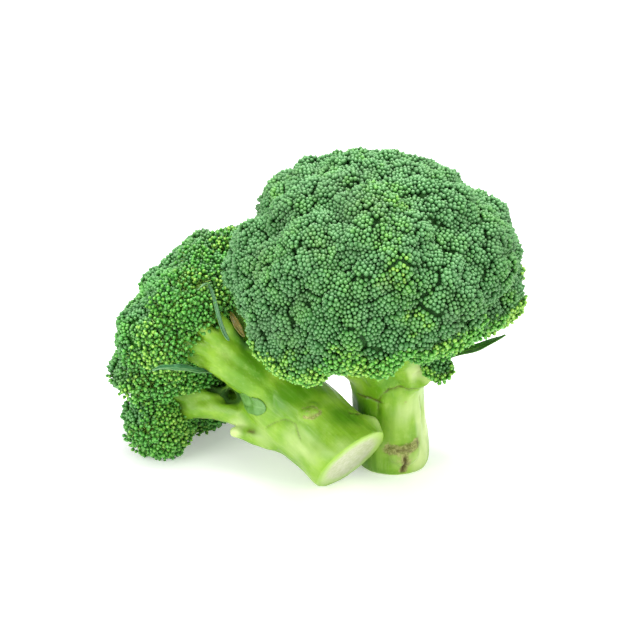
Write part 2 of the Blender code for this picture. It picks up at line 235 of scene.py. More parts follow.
# Camera, floor and light
studio = {
    "target": (0.0058, -0.0014, 0.0775),
    "elevation": 20,
    "distance": 0.80,
    "lens": 90,
    "sensor": 36,
    "nearest": 0.01,
    "floorSize": 6.0,
    "floorColour": (0.94, 0.94, 0.94),
    "floorShade": 0.985,
    "floorGlow": 0.30,
    "toothScale": 900,
    "toothDepth": 0.0002,
    "skyStrength": 0.80,
    # place, size, power
    "lamps": (
        ((0.05, 0.05, 0.95), 0.50, 13.0),
        ((0.80, -0.75, 0.45), 0.50, 4.6),
        ((-0.75, -0.65, 0.40), 0.60, 6.0),
    ),
}


def setStudio():
    target = Vector(studio["target"])
    rise = math.radians(studio["elevation"])
    back = Vector((0, -math.cos(rise), math.sin(rise)))
    bpy.ops.object.camera_add(location=target + back * studio["distance"])
    camera = bpy.context.object
    camera.name = "photoCamera"
    camera.rotation_euler = (-back).to_track_quat("-Z", "Y").to_euler()
    camera.data.lens = studio["lens"]
    camera.data.sensor_width = studio["sensor"]
    camera.data.clip_start = studio["nearest"]
    bpy.context.scene.camera = camera

    bpy.ops.mesh.primitive_plane_add(size=studio["floorSize"])
    floor = bpy.context.object
    floor.name = "floor"
    white = (1.0, 1.0, 1.0, 1.0)
    paper = Finish("paleFloor", Roughness=0.55, Emission_Color=white, Emission_Strength=studio["floorGlow"])
    tooth = paper.noise(paper.place(), studio["toothScale"], 3)
    shaded = [c * studio["floorShade"] for c in studio["floorColour"]]
    paper.feed(
        Base_Color=paper.mix(tooth, studio["floorColour"], shaded),
        Normal=paper.bump(tooth, 0.02, studio["toothDepth"]),
    )
    floor.data.materials.append(paper.material)

    for number, (place, size, power) in enumerate(studio["lamps"]):
        bpy.ops.object.light_add(type="AREA", location=place)
        lamp = bpy.context.object
        lamp.name = f"softbox{number}"
        lamp.data.size = size
        lamp.data.energy = power
        lamp.rotation_euler = (target - Vector(place)).to_track_quat("-Z", "Y").to_euler()

    sky = bpy.data.worlds.new("studioWhite")
    sky.use_nodes = True
    sky.node_tree.nodes["Background"].inputs["Color"].default_value = white
    sky.node_tree.nodes["Background"].inputs["Strength"].default_value = studio["skyStrength"]
    bpy.context.scene.world = sky
    bpy.context.scene.view_settings.view_transform = "Standard"


setStudio()
print("studio is set")


# The bud and its stalklet are modelled once, pointing along +Z, one unit across.
bud = {
    "radius": 1.06,
    "top": (0.9, 2.0),  # heights from and to
    "lowRing": (-0.9, -0.2),
    "foot": (-2.0, -0.9),
    "tipRise": 0.16,
    "ringShare": 0.90,
    "ringHeight": -0.5,
    "stalkletRadius": 0.90,
}


# Leaves edit mode on, with the vertices of that height selected
def pickVertices(piece, low, high):
    inEditMode(piece, lambda: bpy.ops.mesh.select_all(action="DESELECT"))
    for vert in piece.data.vertices:
        vert.select = low < vert.co.z < high
    bpy.ops.object.mode_set(mode="EDIT")


def modelBud():
    bpy.ops.mesh.primitive_ico_sphere_add(subdivisions=1, radius=bud["radius"])
    piece = bpy.context.object
    piece.name = "budPattern"
    pickVertices(piece, *bud["lowRing"])
    bpy.ops.transform.resize(
        value=(bud["ringShare"], bud["ringShare"], 1.0), center_override=(0, 0, bud["ringHeight"])
    )
    bpy.ops.object.mode_set(mode="OBJECT")
    pickVertices(piece, *bud["top"])
    bpy.ops.transform.translate(value=(0, 0, bud["tipRise"]))
    bpy.ops.object.mode_set(mode="OBJECT")
    pickVertices(piece, *bud["foot"])
    bpy.ops.mesh.dissolve_verts()
    bpy.ops.mesh.select_all(action="SELECT")
    bpy.ops.mesh.quads_convert_to_tris()
    bpy.ops.object.mode_set(mode="OBJECT")
    return piece


def modelStalklet():
    bpy.ops.mesh.primitive_cone_add(
        vertices=3, radius1=bud["stalkletRadius"], radius2=0.0, depth=1.0, location=(0, 0, -0.5)
    )
    piece = bpy.context.object
    piece.name = "stalkletPattern"
    bpy.ops.object.transform_apply(location=True, rotation=True, scale=True)
    return piece


def patternOf(piece):
    piece.data.calc_loop_triangles()
    faces = np.array([t.vertices[:] for t in piece.data.loop_triangles])
    shape = pointsOf(piece)
    bpy.data.objects.remove(piece)
    return shape, faces


# One mesh of a pattern copied to many places. Sizes are across and along each copy's own direction.
def copiesOf(name, pattern, places, directions, across, along, spins, marks):
    shape, faces = pattern
    count = len(places)
    side = unit(np.cross(directions, np.where(np.abs(directions[:, 2:]) < 0.9, (0, 0, 1.0), (1.0, 0, 0))))
    other = np.cross(directions, side)
    right = side * np.cos(spins)[:, None] + other * np.sin(spins)[:, None]
    ahead = np.cross(directions, right)
    corners = (
        places[:, None]
        + right[:, None] * (shape[None, :, 0:1] * across[:, None, None])
        + ahead[:, None] * (shape[None, :, 1:2] * across[:, None, None])
        + directions[:, None] * (shape[None, :, 2:3] * along[:, None, None])
    )
    corners[..., 2] = np.maximum(corners[..., 2], 0)  # the table
    allFaces = (faces[None] + (np.arange(count) * len(shape))[:, None, None]).reshape(-1, 3)
    mesh = bpy.data.meshes.new(name)
    mesh.vertices.add(count * len(shape))
    mesh.loops.add(allFaces.size)
    mesh.polygons.add(len(allFaces))
    mesh.vertices.foreach_set("co", corners.astype(np.float32).ravel())
    mesh.loops.foreach_set("vertex_index", allFaces.astype(np.int32).ravel())
    mesh.polygons.foreach_set("loop_start", np.arange(0, allFaces.size, 3, dtype=np.int32))
    mesh.update(calc_edges=True)
    piece = bpy.data.objects.new(name, mesh)
    bpy.context.scene.collection.objects.link(piece)
    shadeSmooth(piece)
    setMarks(piece, {mark: np.repeat(values, len(shape)) for mark, values in marks.items()})
    setMarks(piece, {"tip": np.tile((shape[:, 2] - shape[:, 2].min()) / np.ptp(shape[:, 2]), count)})
    return piece


# Points spread evenly over a surface, a pitch apart. Each round pushes near ones from one another.
spreading = {"packing": 0.866, "neighbours": 8, "reach": 1.12, "step": 0.42}


def evenPoints(piece, pitch, seed, rounds):
    rng = np.random.default_rng(seed)
    mesh = piece.data
    mesh.calc_loop_triangles()
    corners = pointsOf(piece)[np.array([t.vertices[:] for t in mesh.loop_triangles])]
    areas = np.linalg.norm(np.cross(corners[:, 1] - corners[:, 0], corners[:, 2] - corners[:, 0]), axis=1) / 2
    count = int(areas.sum() / (spreading["packing"] * pitch**2))
    chosen = rng.choice(len(areas), count, p=areas / areas.sum())
    first, second = rng.random((2, count, 1))
    flip = first + second > 1
    first, second = np.where(flip, 1 - first, first), np.where(flip, 1 - second, second)
    a, b, c = corners[chosen].transpose(1, 0, 2)
    points = a + (b - a) * first + (c - a) * second
    surface = surfaceOf(piece)
    for _ in range(rounds):
        tree = KDTree(count)
        for number, point in enumerate(points):
            tree.insert(point, number)
        tree.balance()
        found = [tree.find_n(point, spreading["neighbours"]) for point in points]
        near = np.array([[hit[1] for hit in hits] for hits in found])[:, 1:]
        away = points[:, None] - points[near]
        distance = np.maximum(np.linalg.norm(away, axis=2), 1e-6)
        push = np.maximum(spreading["reach"] * pitch - distance, 0) / distance
        points = points + spreading["step"] * (away * push[..., None]).sum(axis=1)
        points = np.array([surface.find_nearest(point)[0] for point in points])
    normals = np.array([surface.find_nearest(point)[1] for point in points])
    return points, normals


# Crowns. A spot is azimuth, elevation, size in degrees and strength, seen from the crown's middle. Umbels are
# small open sprays of buds on stalklets: their pitch, lowest and highest place over the rim, and length. A
# fringe is a row of them: azimuths from and to, distance out, height, how many and length. A lobe is x, y, z
# and radius in millimetres. A lift raises the rim: azimuth, width and amount.
standingCrown = {
    "name": "standingCrown",
    "node": "standing_crown",
    "head": "standing",
    "centre": (-0.0110, -0.0140, 0.1090),
    "axis": (-0.170, -0.180, 1.0),
    "underside": 0.0300,  # from the centre down to the rim
    "evenness": 9,
    "floretSize": 0.0105,
    "floretHeight": 0.0008,
    "seamDepth": 0.0012,
    "pitch": 0.00200,
    "budsAbove": 0.0010,
    "rimHeight": 0.0085,
    "budWidth": 1.27,  # of half the pitch
    "budLength": 1.16,  # of its width
    "budLift": -0.0004,
    "coreDepth": 0.0019,
    "openRim": 1.0,
    "rimRipeness": 0.6,
    "sprayRipeness": 0.46,
    "openness": 0.14,
    "bloomAndSheen": 0.65,
    "ripeSpots": (
        (-128, -26, 7, 0.75), (-118, -29, 6, 0.85), (-98, -25, 6, 0.8), (-88, -24, 6, 0.8),
        (-83, 16, 6, 0.75), (-79, 46, 5, 0.55), (-89, 56, 9, 0.45), (-86, 27, 5, 0.55), (-84, 36, 8, 0.35),
        (166, 82, 5, 0.35), (-117, 59, 4, 0.30), (-74, -4, 6, 0.80), (-104, -17, 6, 0.65), (-24, -3, 5, 0.55),
        (40, 30, 5, 0.45), (120, 20, 5, 0.50), (-170, 40, 5, 0.40), (80, 50, 4, 0.40), (-78, 10, 8, 0.30),
        (-95, 40, 7, 0.25),
    ),
    "brownSpots": (
        (-96, 47, 9, 0.30), (-118, 26, 8, 0.28), (-148, 15, 8, 0.25), (-88, 12, 3, 0.4), (95, 35, 9, 0.3),
    ),
    "umbels": (0.0056, -0.002, 0.006, 0.0060),
    "lobes": (
        (-63, -44, 87, 6.5), (-58, -51, 84, 7.5), (-51, -57, 80, 8.0), (-43, -62, 79, 8.0),
        (-34, -66, 83, 5.5), (-25, -67, 87, 5.5), (-17, -67, 84, 6.0), (-9, -67, 83, 7.0), (-2, -66, 86, 5.5),
        (24, -58, 92, 5.5), (32, -52, 95, 6.5), (41, -43, 97, 6.5), (50, -30, 96, 6.0),
    ),
    "lifts": ((-75, 8, 0.011),),
    "freshness": 0.10,
    "seed": 11,
    "parts": 3,  # pieces that its buds are shared out to
}
lyingCrown = {
    "name": "lyingCrown",
    "node": "lying_crown",
    "head": "lying",
    "centre": (0.0, 0.0, 0.1077),
    "axis": (-0.07, -0.12, 1.0),
    "underside": 0.0235,
    "evenness": 7,
    "floretSize": 0.0092,
    "floretHeight": 0.0011,
    "seamDepth": 0.0013,
    "pitch": 0.00198,
    "budsAbove": -0.0010,
    "rimHeight": 0.014,
    "budWidth": 1.20,
    "budLength": 1.18,
    "budLift": -0.0004,
    "coreDepth": 0.0020,
    "openRim": 0.55,
    "rimRipeness": 0.30,
    "sprayRipeness": 0.26,
    "openness": 0.26,
    "bloomAndSheen": 0.62,
    "ripeSpots": (
        (59, -4, 9, 1.0), (103, 15, 6, 0.8), (46, -9, 6, 0.7), (30, -2, 7, 0.7), (24, -13, 7, 1.0),
        (-3, -5, 7, 0.8), (74, 8, 6, 0.6), (-20, 10, 5, 0.6), (150, 10, 6, 0.6), (-90, 20, 6, 0.6),
    ),
    "brownSpots": ((24, -13, 3, 0.6), (20, 4, 3, 0.4)),
    "umbels": (0.0064, -0.003, 0.013, 0.0072),
    "fringes": ((5, 75, 0.0410, 0.0930, 16, 0.0075),),
    "freshness": 0.95,
    "seed": 12,
    "parts": 2,
}
lowFloret = {
    "name": "lyingLowFloret",
    "node": "lying_low_floret",
    "head": "lying",
    "centre": (0.0332, -0.0340, 0.0972),
    "axis": (0.36, -0.58, 0.73),
    "underside": 0.0120,
    "evenness": 4,
    "floretSize": 0.0085,
    "floretHeight": 0.0012,
    "seamDepth": 0.0016,
    "pitch": 0.00198,
    "budsAbove": -0.0020,
    "rimHeight": 0.012,
    "budWidth": 1.18,
    "budLength": 1.22,
    "budLift": -0.0005,
    "coreDepth": 0.0020,
    "openRim": 0.5,
    "rimRipeness": 0.35,
    "sprayRipeness": 0.35,
    "openness": 0.28,
    "bloomAndSheen": 0.55,
    "ripeSpots": ((-40, 20, 14, 0.8), (-90, -10, 12, 0.8), (0, 30, 12, 0.7), (60, 10, 12, 0.6)),
    "umbels": (0.0062, -0.008, 0.014, 0.0070),
    "freshness": 0.90,
    "seed": 13,
    "parts": 1,
}
sideFloret = {
    "name": "standingSideFloret",
    "node": "standing_side_floret",
    "head": "standing",
    "centre": (0.0190, -0.0270, 0.0645),
    "axis": (0.45, -0.45, 0.78),
    "underside": 0.0060,
    "evenness": 2,
    "floretSize": 0.0070,
    "floretHeight": 0.0004,
    "seamDepth": 0.0008,
    "pitch": 0.00185,
    "budsAbove": -0.0050,
    "rimHeight": 0.006,
    "budWidth": 1.14,
    "budLength": 1.25,
    "budLift": -0.0004,
    "coreDepth": 0.0012,
    "openRim": 0.5,
    "rimRipeness": 0.3,
    "sprayRipeness": 0.3,
    "openness": 0.40,
    "bloomAndSheen": 0.1,
    "umbels": (0.0052, -0.006, 0.004, 0.0044),
    "freshness": 0.35,
    "seed": 14,
    "parts": 1,
}
# What the crowns share. Lengths are in metres, and a pair of them is the least and the most.
budding = {
    "voxel": 0.0013,
    "lobeStretch": (1.25, 1.25, 1, 1),
    "liftFade": (0.002, 0.030),
    "floretRounds": 5,
    "floretScatter": 0.20,
    "budRounds": 22,
    "edgeWave": 0.0015,
    "edgeSize": 0.006,
    "seamGap": 0.00042,
    "seamWidth": 0.0010,
    "seamKept": 0.50,
    "seamSize": 0.009,
    "domeShare": 0.6,
    "moodSize": 0.010,
    "fineSize": 0.0035,
    "rimWave": 0.3,
    "underFacing": (-0.15, 0.75),
    "underWave": 0.25,
    "underHeight": (0.010, 0.028),
    "spotFade": (0.55, 1.25),  # of its size
    "spotWave": 0.35,
    "spotWaveSize": 0.0045,
    "closedShare": 0.42,  # of the buds in a ripe spot
    "closedRipeness": 0.30,
    "moodShare": 1.2,
    "fineShare": 0.35,
    "ripeSpread": 0.05,
    "shineWave": 0.30,
    "shineSize": 0.016,
    "freshLevel": 0.7,
    "freshWave": 0.6,
    "freshSize": 0.012,
    "lean": 0.15,
    "widths": (0.84, 1.12),
    "lengths": (0.92, 1.15),
    "ripeShrink": 0.20,
    "unevenness": 0.00027,
    "ripeLift": (-0.0008, 0.0008),
    "openFrom": 0.55,
    "openStalklet": 0.0026,
    "fullTurn": 6.283,
    "coreEdge": (-0.002, 0.004),
    "coreShare": 0.22,  # of the core's faces, kept under the buds
}
umbel = {
    "buds": 15,
    "spread": 56,
    "rounds": 8,
    "wave": 0.25,
    "waveSize": 0.010,
    "underFacing": 0.10,
    "underHeight": 0.016,
    "sag": 0.10,
    "moreSag": 0.70,
    "lean": 0.14,
    "reaches": (0.85, 1.18),
    "foot": 0.62,  # of its reach, under the skin
    "fork": 0.40,  # of its reach, over the foot
    "rayLean": 0.07,
    "rayReaches": (0.90, 1.10),
    "mood": 0.60,
    "moodSize": 0.011,
    "moodSpread": 0.10,
    "outerRipeness": 0.22,
    "ripeSpread": 0.08,
    "freshness": 0.9,
    "widths": (0.86, 1.14),
    "stalkletRadius": 0.00036,
    "openStalklet": 1.2,  # of that radius, under a ripe bud of the crown's own surface
    "stemRadius": 0.00080,
    "stemSink": 0.002,
}


# How far each point is from the nearest floret's middle, and from the seam to the next floret
def seamsOf(points, seeds):
    tree = KDTree(len(seeds))
    for number, seed in enumerate(seeds):
        tree.insert(seed, number)
    tree.balance()
    reach = np.array([[hit[2] for hit in tree.find_n(point, 2)] for point in points])
    return reach[:, 0], (reach[:, 1] - reach[:, 0]) / 2


def fromMiddle(points, crown):
    return toHead(points, crown["head"]) - np.array(crown["centre"])


def riseOver(points, crown):
    return fromMiddle(points, crown) @ unit(np.array(crown["axis"])) + crown["underside"]


def domeOf(inner, crown):
    return crown["floretHeight"] * (1 - (inner / (budding["domeShare"] * crown["floretSize"])) ** 2)


def spotsOn(points, crown, kind):
    found = np.zeros(len(points))
    facing = unit(fromMiddle(points, crown))
    ragged = 1 + budding["spotWave"] * patches(points, budding["spotWaveSize"], crown["seed"] + 7)
    inside, outside = budding["spotFade"]
    for azimuth, elevation, size, strength in crown.get(kind, ()):
        a, e = math.radians(azimuth), math.radians(elevation)
        middle = np.array((math.cos(a) * math.cos(e), math.sin(a) * math.cos(e), math.sin(e)))
        away = np.degrees(np.arccos(np.clip(facing @ middle, -1, 1)))
        fade = 1 - smoothStep(inside * size, outside * size, away * ragged)
        found = np.maximum(found, strength * fade)
    return found


# A crown's shape: the solid's copy with its added lobes, evened out
def shapeCore(crown):
    core = copyOfNode(crown["node"], crown["name"] + "Core")
    lobes = []
    for x, y, z, radius in crown.get("lobes", ()):
        bpy.ops.mesh.primitive_ico_sphere_add(subdivisions=3, radius=radius / 1000)
        place = heads[crown["head"]] @ Matrix.Translation((x / 1000, y / 1000, z / 1000))
        bpy.context.object.data.transform(place @ Matrix.Diagonal(budding["lobeStretch"]))
        lobes.append(bpy.context.object)
    selectOnly(core, *lobes)
    if lobes:
        bpy.ops.object.join()
    applied(core, "REMESH", mode="VOXEL", voxel_size=budding["voxel"])
    applied(core, "SMOOTH", factor=0.5, iterations=crown["evenness"])
    points = pointsOf(core)
    out, rise = fromMiddle(points, crown), riseOver(points, crown)
    turn = np.degrees(np.arctan2(out[:, 1], out[:, 0]))
    for azimuth, width, amount in crown.get("lifts", ()):
        share = np.exp(-(((turn - azimuth) / width) ** 2)) * (1 - smoothStep(*budding["liftFade"], rise))
        points = points + turnedOut((0, 0, amount), crown["head"]) * share[:, None]
    movePoints(core, points)
    return core


# Buds all over a crown's own surface: places, directions, widths, lengths and marks
def budOver(core, crown, seeds, rng):
    seed = crown["seed"]
    points, normals = evenPoints(core, crown["pitch"], seed, budding["budRounds"])
    rise = riseOver(points, crown)
    kept = rise > crown["budsAbove"] + budding["edgeWave"] * patches(points, budding["edgeSize"], seed + 8)
    points, normals, rise = points[kept], normals[kept], rise[kept]
    inner, edge = seamsOf(points, seeds)
    filled = patches(points, budding["seamSize"], seed + 2) < budding["seamKept"]
    kept = (edge > budding["seamGap"]) | filled
    points, normals, rise, inner, edge = points[kept], normals[kept], rise[kept], inner[kept], edge[kept]
    # Nearness to a seam: buds there sink, and their colour takes painted shade.
    seam = np.exp(-((edge / budding["seamWidth"]) ** 2))
    patch = patches(points, budding["moodSize"], seed)
    fine = patches(points, budding["fineSize"], seed + 1)
    rim = 1 - smoothStep(0, crown["rimHeight"], rise + budding["rimWave"] * crown["rimHeight"] * patch)
    count = len(points)
    below = normals @ turnedOut((0, 0, -1), crown["head"])
    low = smoothStep(*budding["underFacing"], below + budding["underWave"] * patch)
    low = low * (1 - smoothStep(*budding["underHeight"], rise))
    speckled = np.where(rng.random(count) > budding["closedShare"], 1.0, budding["closedRipeness"])
    ripe = np.maximum(rim * crown["openRim"], crown["rimRipeness"] * low)
    ripe = np.maximum(ripe, speckled * spotsOn(points, crown, "ripeSpots"))
    mood = np.maximum(patch + budding["fineShare"] * fine, 0)
    ripe = ripe + crown["openness"] * mood * budding["moodShare"]
    ripe = np.clip(ripe + rng.normal(0, budding["ripeSpread"], count), 0, 1)
    directions = unit(normals + rng.normal(0, budding["lean"], (count, 3)))
    width = 0.5 * crown["pitch"] * crown["budWidth"] * rng.uniform(*budding["widths"], count)
    width = width * (1 - budding["ripeShrink"] * ripe)
    length = width * crown["budLength"] * rng.uniform(*budding["lengths"], count)
    lift = rng.normal(0, budding["unevenness"], count) + crown["budLift"] + domeOf(inner, crown)
    lift = lift - crown["seamDepth"] * seam + ripe * rng.uniform(*budding["ripeLift"], count)
    # Painted sheen over a waxy grey coat: buds that face up are paler and greyer, in soft patches.
    shine = 0.5 + 0.5 * normals[:, 2] + budding["shineWave"] * patches(points, budding["shineSize"], seed + 3)
    fresh = budding["freshLevel"] + budding["freshWave"] * patches(points, budding["freshSize"], seed + 4)
    marks = {
        "ripe": ripe,
        "tone": rng.random(count),
        "bloomAndSheen": np.clip(shine * crown["bloomAndSheen"], 0, 1),
        "seam": seam,
        "fresh": np.clip(crown["freshness"] * fresh, 0, 1),
        "brown": spotsOn(points, crown, "brownSpots") * rng.random(count),
    }
    return points + normals * lift[:, None], directions, width, length, marks


# Open sprays along the rim and underneath: their buds and the stalklets that hold them
def sprayUmbels(core, crown, rng):
    head, seed = crown["head"], crown["seed"]
    pitch, low, high, length = crown["umbels"]
    points, normals = evenPoints(core, pitch, seed + 5, umbel["rounds"])
    rise = riseOver(points, crown)
    below = normals @ turnedOut((0, 0, -1), head)
    wavy = umbel["wave"] * high * patches(points, umbel["waveSize"], seed + 6)
    under = (below > umbel["underFacing"]) & (rise < high + umbel["underHeight"])
    kept = (rise > low) & ((rise < high + wavy) | under)
    points, normals = points[kept], normals[kept]
    down = -turnedOut(Vector(crown["axis"]).normalized(), head)
    sag = umbel["sag"] + umbel["moreSag"] * rng.random((len(points), 1))
    facing = unit(normals + down * sag + rng.normal(0, umbel["lean"], normals.shape))
    reach = length * rng.uniform(*umbel["reaches"], (len(points), 1))
    foot = points - normals * reach * umbel["foot"]
    turned = np.array(heads[head].to_3x3())
    for start, stop, out, height, count, long in crown.get("fringes", ()):
        angles = np.radians(np.linspace(start, stop, count) + rng.uniform(-2.2, 2.2, count))
        outward = np.stack((np.cos(angles), np.sin(angles), np.zeros(count)), axis=1)
        local = outward * (out + rng.uniform(-0.003, 0.003, (count, 1)))
        local[:, :2] += np.array(crown["centre"][:2])
        local[:, 2] = height + rng.uniform(-0.002, 0.002, count)
        aims = unit(outward * 0.75 - np.array((0, 0, 1.0)) * rng.uniform(0.5, 1.3, (count, 1)))
        foot = np.concatenate((foot, local @ turned.T + np.array(heads[head].translation)))
        facing = np.concatenate((facing, aims @ turned.T))
        reach = np.concatenate((reach, long * rng.uniform(0.8, 1.15, (count, 1))))

    # One umbel's rays are a spiral over a cap, turned to each facing.
    number = np.arange(umbel["buds"])
    rise = 1 - (number + 0.5) / umbel["buds"] * (1 - math.cos(math.radians(umbel["spread"])))
    turn = number * math.pi * (3 - math.sqrt(5))
    ring = np.sqrt(1 - rise**2)
    cap = np.stack((np.cos(turn) * ring, np.sin(turn) * ring, rise), axis=1)
    side = unit(np.cross(facing, unit(rng.normal(size=facing.shape))))
    other = np.cross(facing, side)
    rays = side[:, None] * cap[:, 0:1] + other[:, None] * cap[:, 1:2] + facing[:, None] * cap[:, 2:3]
    rays = unit(rays + rng.normal(0, umbel["rayLean"], rays.shape))
    ends = foot[:, None] + rays * reach[:, None] * rng.uniform(*umbel["rayReaches"], rays.shape[:2] + (1,))
    fork = foot + facing * reach * umbel["fork"]
    toEnd = ends - fork[:, None]
    lengths = np.linalg.norm(toEnd, axis=2)
    mood = umbel["mood"] * np.maximum(patches(foot, umbel["moodSize"], seed + 10), -0.2)
    mood = np.repeat(mood + rng.normal(0, umbel["moodSpread"], len(foot)), umbel["buds"])
    ageing = np.broadcast_to(ring, lengths.shape).ravel() * umbel["outerRipeness"] + mood
    return ends.reshape(-1, 3), unit(toEnd).reshape(-1, 3), lengths.ravel(), ageing, foot, fork


# The core is sunk under the buds, dark green on top as painted shade in the gaps between them, pale
# underneath, and keeps few faces.
def finishCore(core, crown, seeds):
    points, normals = pointsOf(core), normalsOf(core)
    inner, edge = seamsOf(points, seeds)
    relief = domeOf(inner, crown) - crown["seamDepth"] * np.exp(-((edge / budding["seamWidth"]) ** 2))
    underneath = 1 - smoothStep(*budding["coreEdge"], riseOver(points, crown))
    relief = relief * (1 - underneath) - crown["coreDepth"]
    movePoints(core, points + normals * relief[:, None])
    setMarks(core, {"under": underneath, "fresh": underneath * 0 + crown["freshness"]})
    applied(core, "DECIMATE", ratio=budding["coreShare"])
    shadeSmooth(core)
    core.data.materials.append(coreFinish.material)


def growCrown(crown):
    rng = np.random.default_rng(crown["seed"])
    name = crown["name"]
    core = shapeCore(crown)
    seeds = evenPoints(core, crown["floretSize"], crown["seed"] + 9, budding["floretRounds"])[0]
    seeds = seeds + rng.normal(0, budding["floretScatter"] * crown["floretSize"], seeds.shape)
    places, directions, width, length, marks = budOver(core, crown, seeds, rng)
    count = len(places)
    opened = np.nonzero(marks["ripe"] > budding["openFrom"])[0]

    ends, rays, reaches, ageing, foot, fork = sprayUmbels(core, crown, rng)
    more = len(ends)
    umbelWidth = 0.5 * crown["pitch"] * rng.uniform(*umbel["widths"], more)
    places = np.concatenate((places, ends))
    directions = np.concatenate((directions, rays))
    width = np.concatenate((width, umbelWidth))
    length = np.concatenate((length, umbelWidth * crown["budLength"]))
    umbelMarks = {
        "ripe": np.clip(crown["sprayRipeness"] + ageing + rng.normal(0, umbel["ripeSpread"], more), 0, 1),
        "tone": rng.random(more),
        "fresh": np.full(more, umbel["freshness"]),
    }
    marks = {
        mark: np.concatenate((values, umbelMarks.get(mark, np.zeros(more)))) for mark, values in marks.items()
    }

    # All buds are one mesh, or a few side by side.
    made = []
    spins = rng.uniform(0, budding["fullTurn"], len(places))
    order = np.argsort(places[:, 0])
    for number, share in enumerate(np.array_split(order, crown["parts"])):
        suffix = f"{number + 1}" if crown["parts"] > 1 else ""
        buds = copiesOf(
            name + "Buds" + suffix, budPattern, places[share], directions[share], width[share],
            length[share], spins[share], {mark: values[share] for mark, values in marks.items()},
        )
        buds.data.materials.append(budFinish.material)
        made.append(buds)

    # Stalklets stand under the ripe buds, the umbels' buds and the umbels.
    stemPlaces = np.concatenate((places[opened], ends, fork))
    stemRays = np.concatenate((directions[opened], rays, unit(fork - foot)))
    across = np.concatenate((
        np.full(len(opened), umbel["stalkletRadius"] * umbel["openStalklet"]),
        np.full(more, umbel["stalkletRadius"]), np.full(len(foot), umbel["stemRadius"]),
    ))
    forkLengths = np.linalg.norm(fork - foot, axis=1) + umbel["stemSink"]
    along = np.concatenate((np.full(len(opened), budding["openStalklet"]), reaches, forkLengths))
    total = len(across)
    stems = copiesOf(
        name + "Stalklets", stalkletPattern, stemPlaces, stemRays, across, along,
        rng.uniform(0, budding["fullTurn"], total), {"tone": rng.random(total)},
    )
    stems.data.materials.append(stalkletFinish.material)
    made.append(stems)

    finishCore(core, crown, seeds)
    made.append(core)
    for piece in made:
        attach(piece, "root")
        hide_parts(crown["node"])
    print(name, "has", count, "buds on top,", more, "in umbels and", total, "stalklets")
    return core


def makeBudFinish():
    green = Finish("budGreen", Specular_IOR_Level=0.25)
    ripe = green.attribute("ripe")
    tone = green.attribute("tone")
    tip = green.attribute("tip")
    mottle = green.noise(green.place(), 2600, 2)
    fresh = green.clamped(green.attribute("fresh") * (0.6 + tone * 0.6))
    base = green.mix(tone, (0.015, 0.108, 0.015), (0.042, 0.190, 0.038))
    base = green.mix(fresh, base, (0.100, 0.420, 0.055))
    # Painted sheen on buds facing up, with their waxy grey coat.
    base = green.mix(green.clamped(green.attribute("bloomAndSheen")), base, (0.112, 0.295, 0.108))
    base = green.mix(green.clamped(ripe * 1.05), base, (0.17, 0.46, 0.026))
    base = green.mix(green.ramped(ripe + tone * 0.25, 0.75, 1.15), base, (0.32, 0.56, 0.055))
    base = green.mix(green.clamped(green.attribute("brown")), base, (0.16, 0.15, 0.06))
    # Painted shade: each bud is darker towards its foot, where packed buds shade one another.
    shade = green.mix(green.clamped(fresh + ripe), (0.002, 0.056, 0.002), (0.018, 0.170, 0.005))
    base = green.mix(green.ramped(tip, 0.92, 0.28) * 0.90, base, shade)
    # Painted shade in the seams between florets.
    base = green.mix(green.attribute("seam") * 0.55, base, (0.003, 0.058, 0.003))
    # Painted highlight on each bud's tip.
    base = green.mix(green.ramped(tip, 0.66, 1.0) * 0.42, base, (0.34, 0.54, 0.30))
    haze = green.ramped(green.noise(green.place(), 42, 2), 0.50, 0.72)
    base = green.mix(haze * (1 - ripe) * 0.35, base, (0.075, 0.130, 0.060))
    base = green.mix(mottle * 0.20, base, (0.15, 0.34, 0.13))
    green.feed(Base_Color=base, Roughness=0.42 + mottle * 0.2)
    return green


def makeStalkletFinish():
    pale = Finish("stalkletGreen", Roughness=0.45)
    base = pale.mix(pale.attribute("tone"), (0.17, 0.38, 0.030), (0.36, 0.56, 0.090))
    # Painted shade: each stalklet is darker towards its foot, far inside the crown.
    base = pale.mix(pale.ramped(pale.attribute("tip"), 0.6, 0.0) * 0.6, base, (0.05, 0.17, 0.012))
    pale.feed(Base_Color=base)
    return pale


def makeCoreFinish():
    shade = Finish("deepGreen", Roughness=0.7)
    patch = shade.noise(shade.place(), 260, 3)
    fine = shade.noise(shade.place(), 900, 3)
    # Painted shade: the core's top is dark green, to darken the gaps between the buds.
    base = shade.mix(shade.ramped(patch, 0.35, 0.65), (0.005, 0.062, 0.003), (0.016, 0.105, 0.006))
    base = shade.mix(shade.attribute("fresh"), base, (0.030, 0.200, 0.006))
    pale = shade.mix(shade.ramped(fine, 0.30, 0.65), (0.10, 0.26, 0.025), (0.34, 0.52, 0.10))
    base = shade.mix(shade.attribute("under"), base, pale)
    shade.feed(Base_Color=base, Normal=shade.bump(fine, 0.6, 0.0006))
    return shade


budFinish, stalkletFinish, coreFinish = makeBudFinish(), makeStalkletFinish(), makeCoreFinish()
budPattern, stalkletPattern = patternOf(modelBud()), patternOf(modelStalklet())
print("buds are modelled")
crownCores = {crown["name"]: growCrown(crown) for crown in (standingCrown, lyingCrown, lowFloret, sideFloret)}
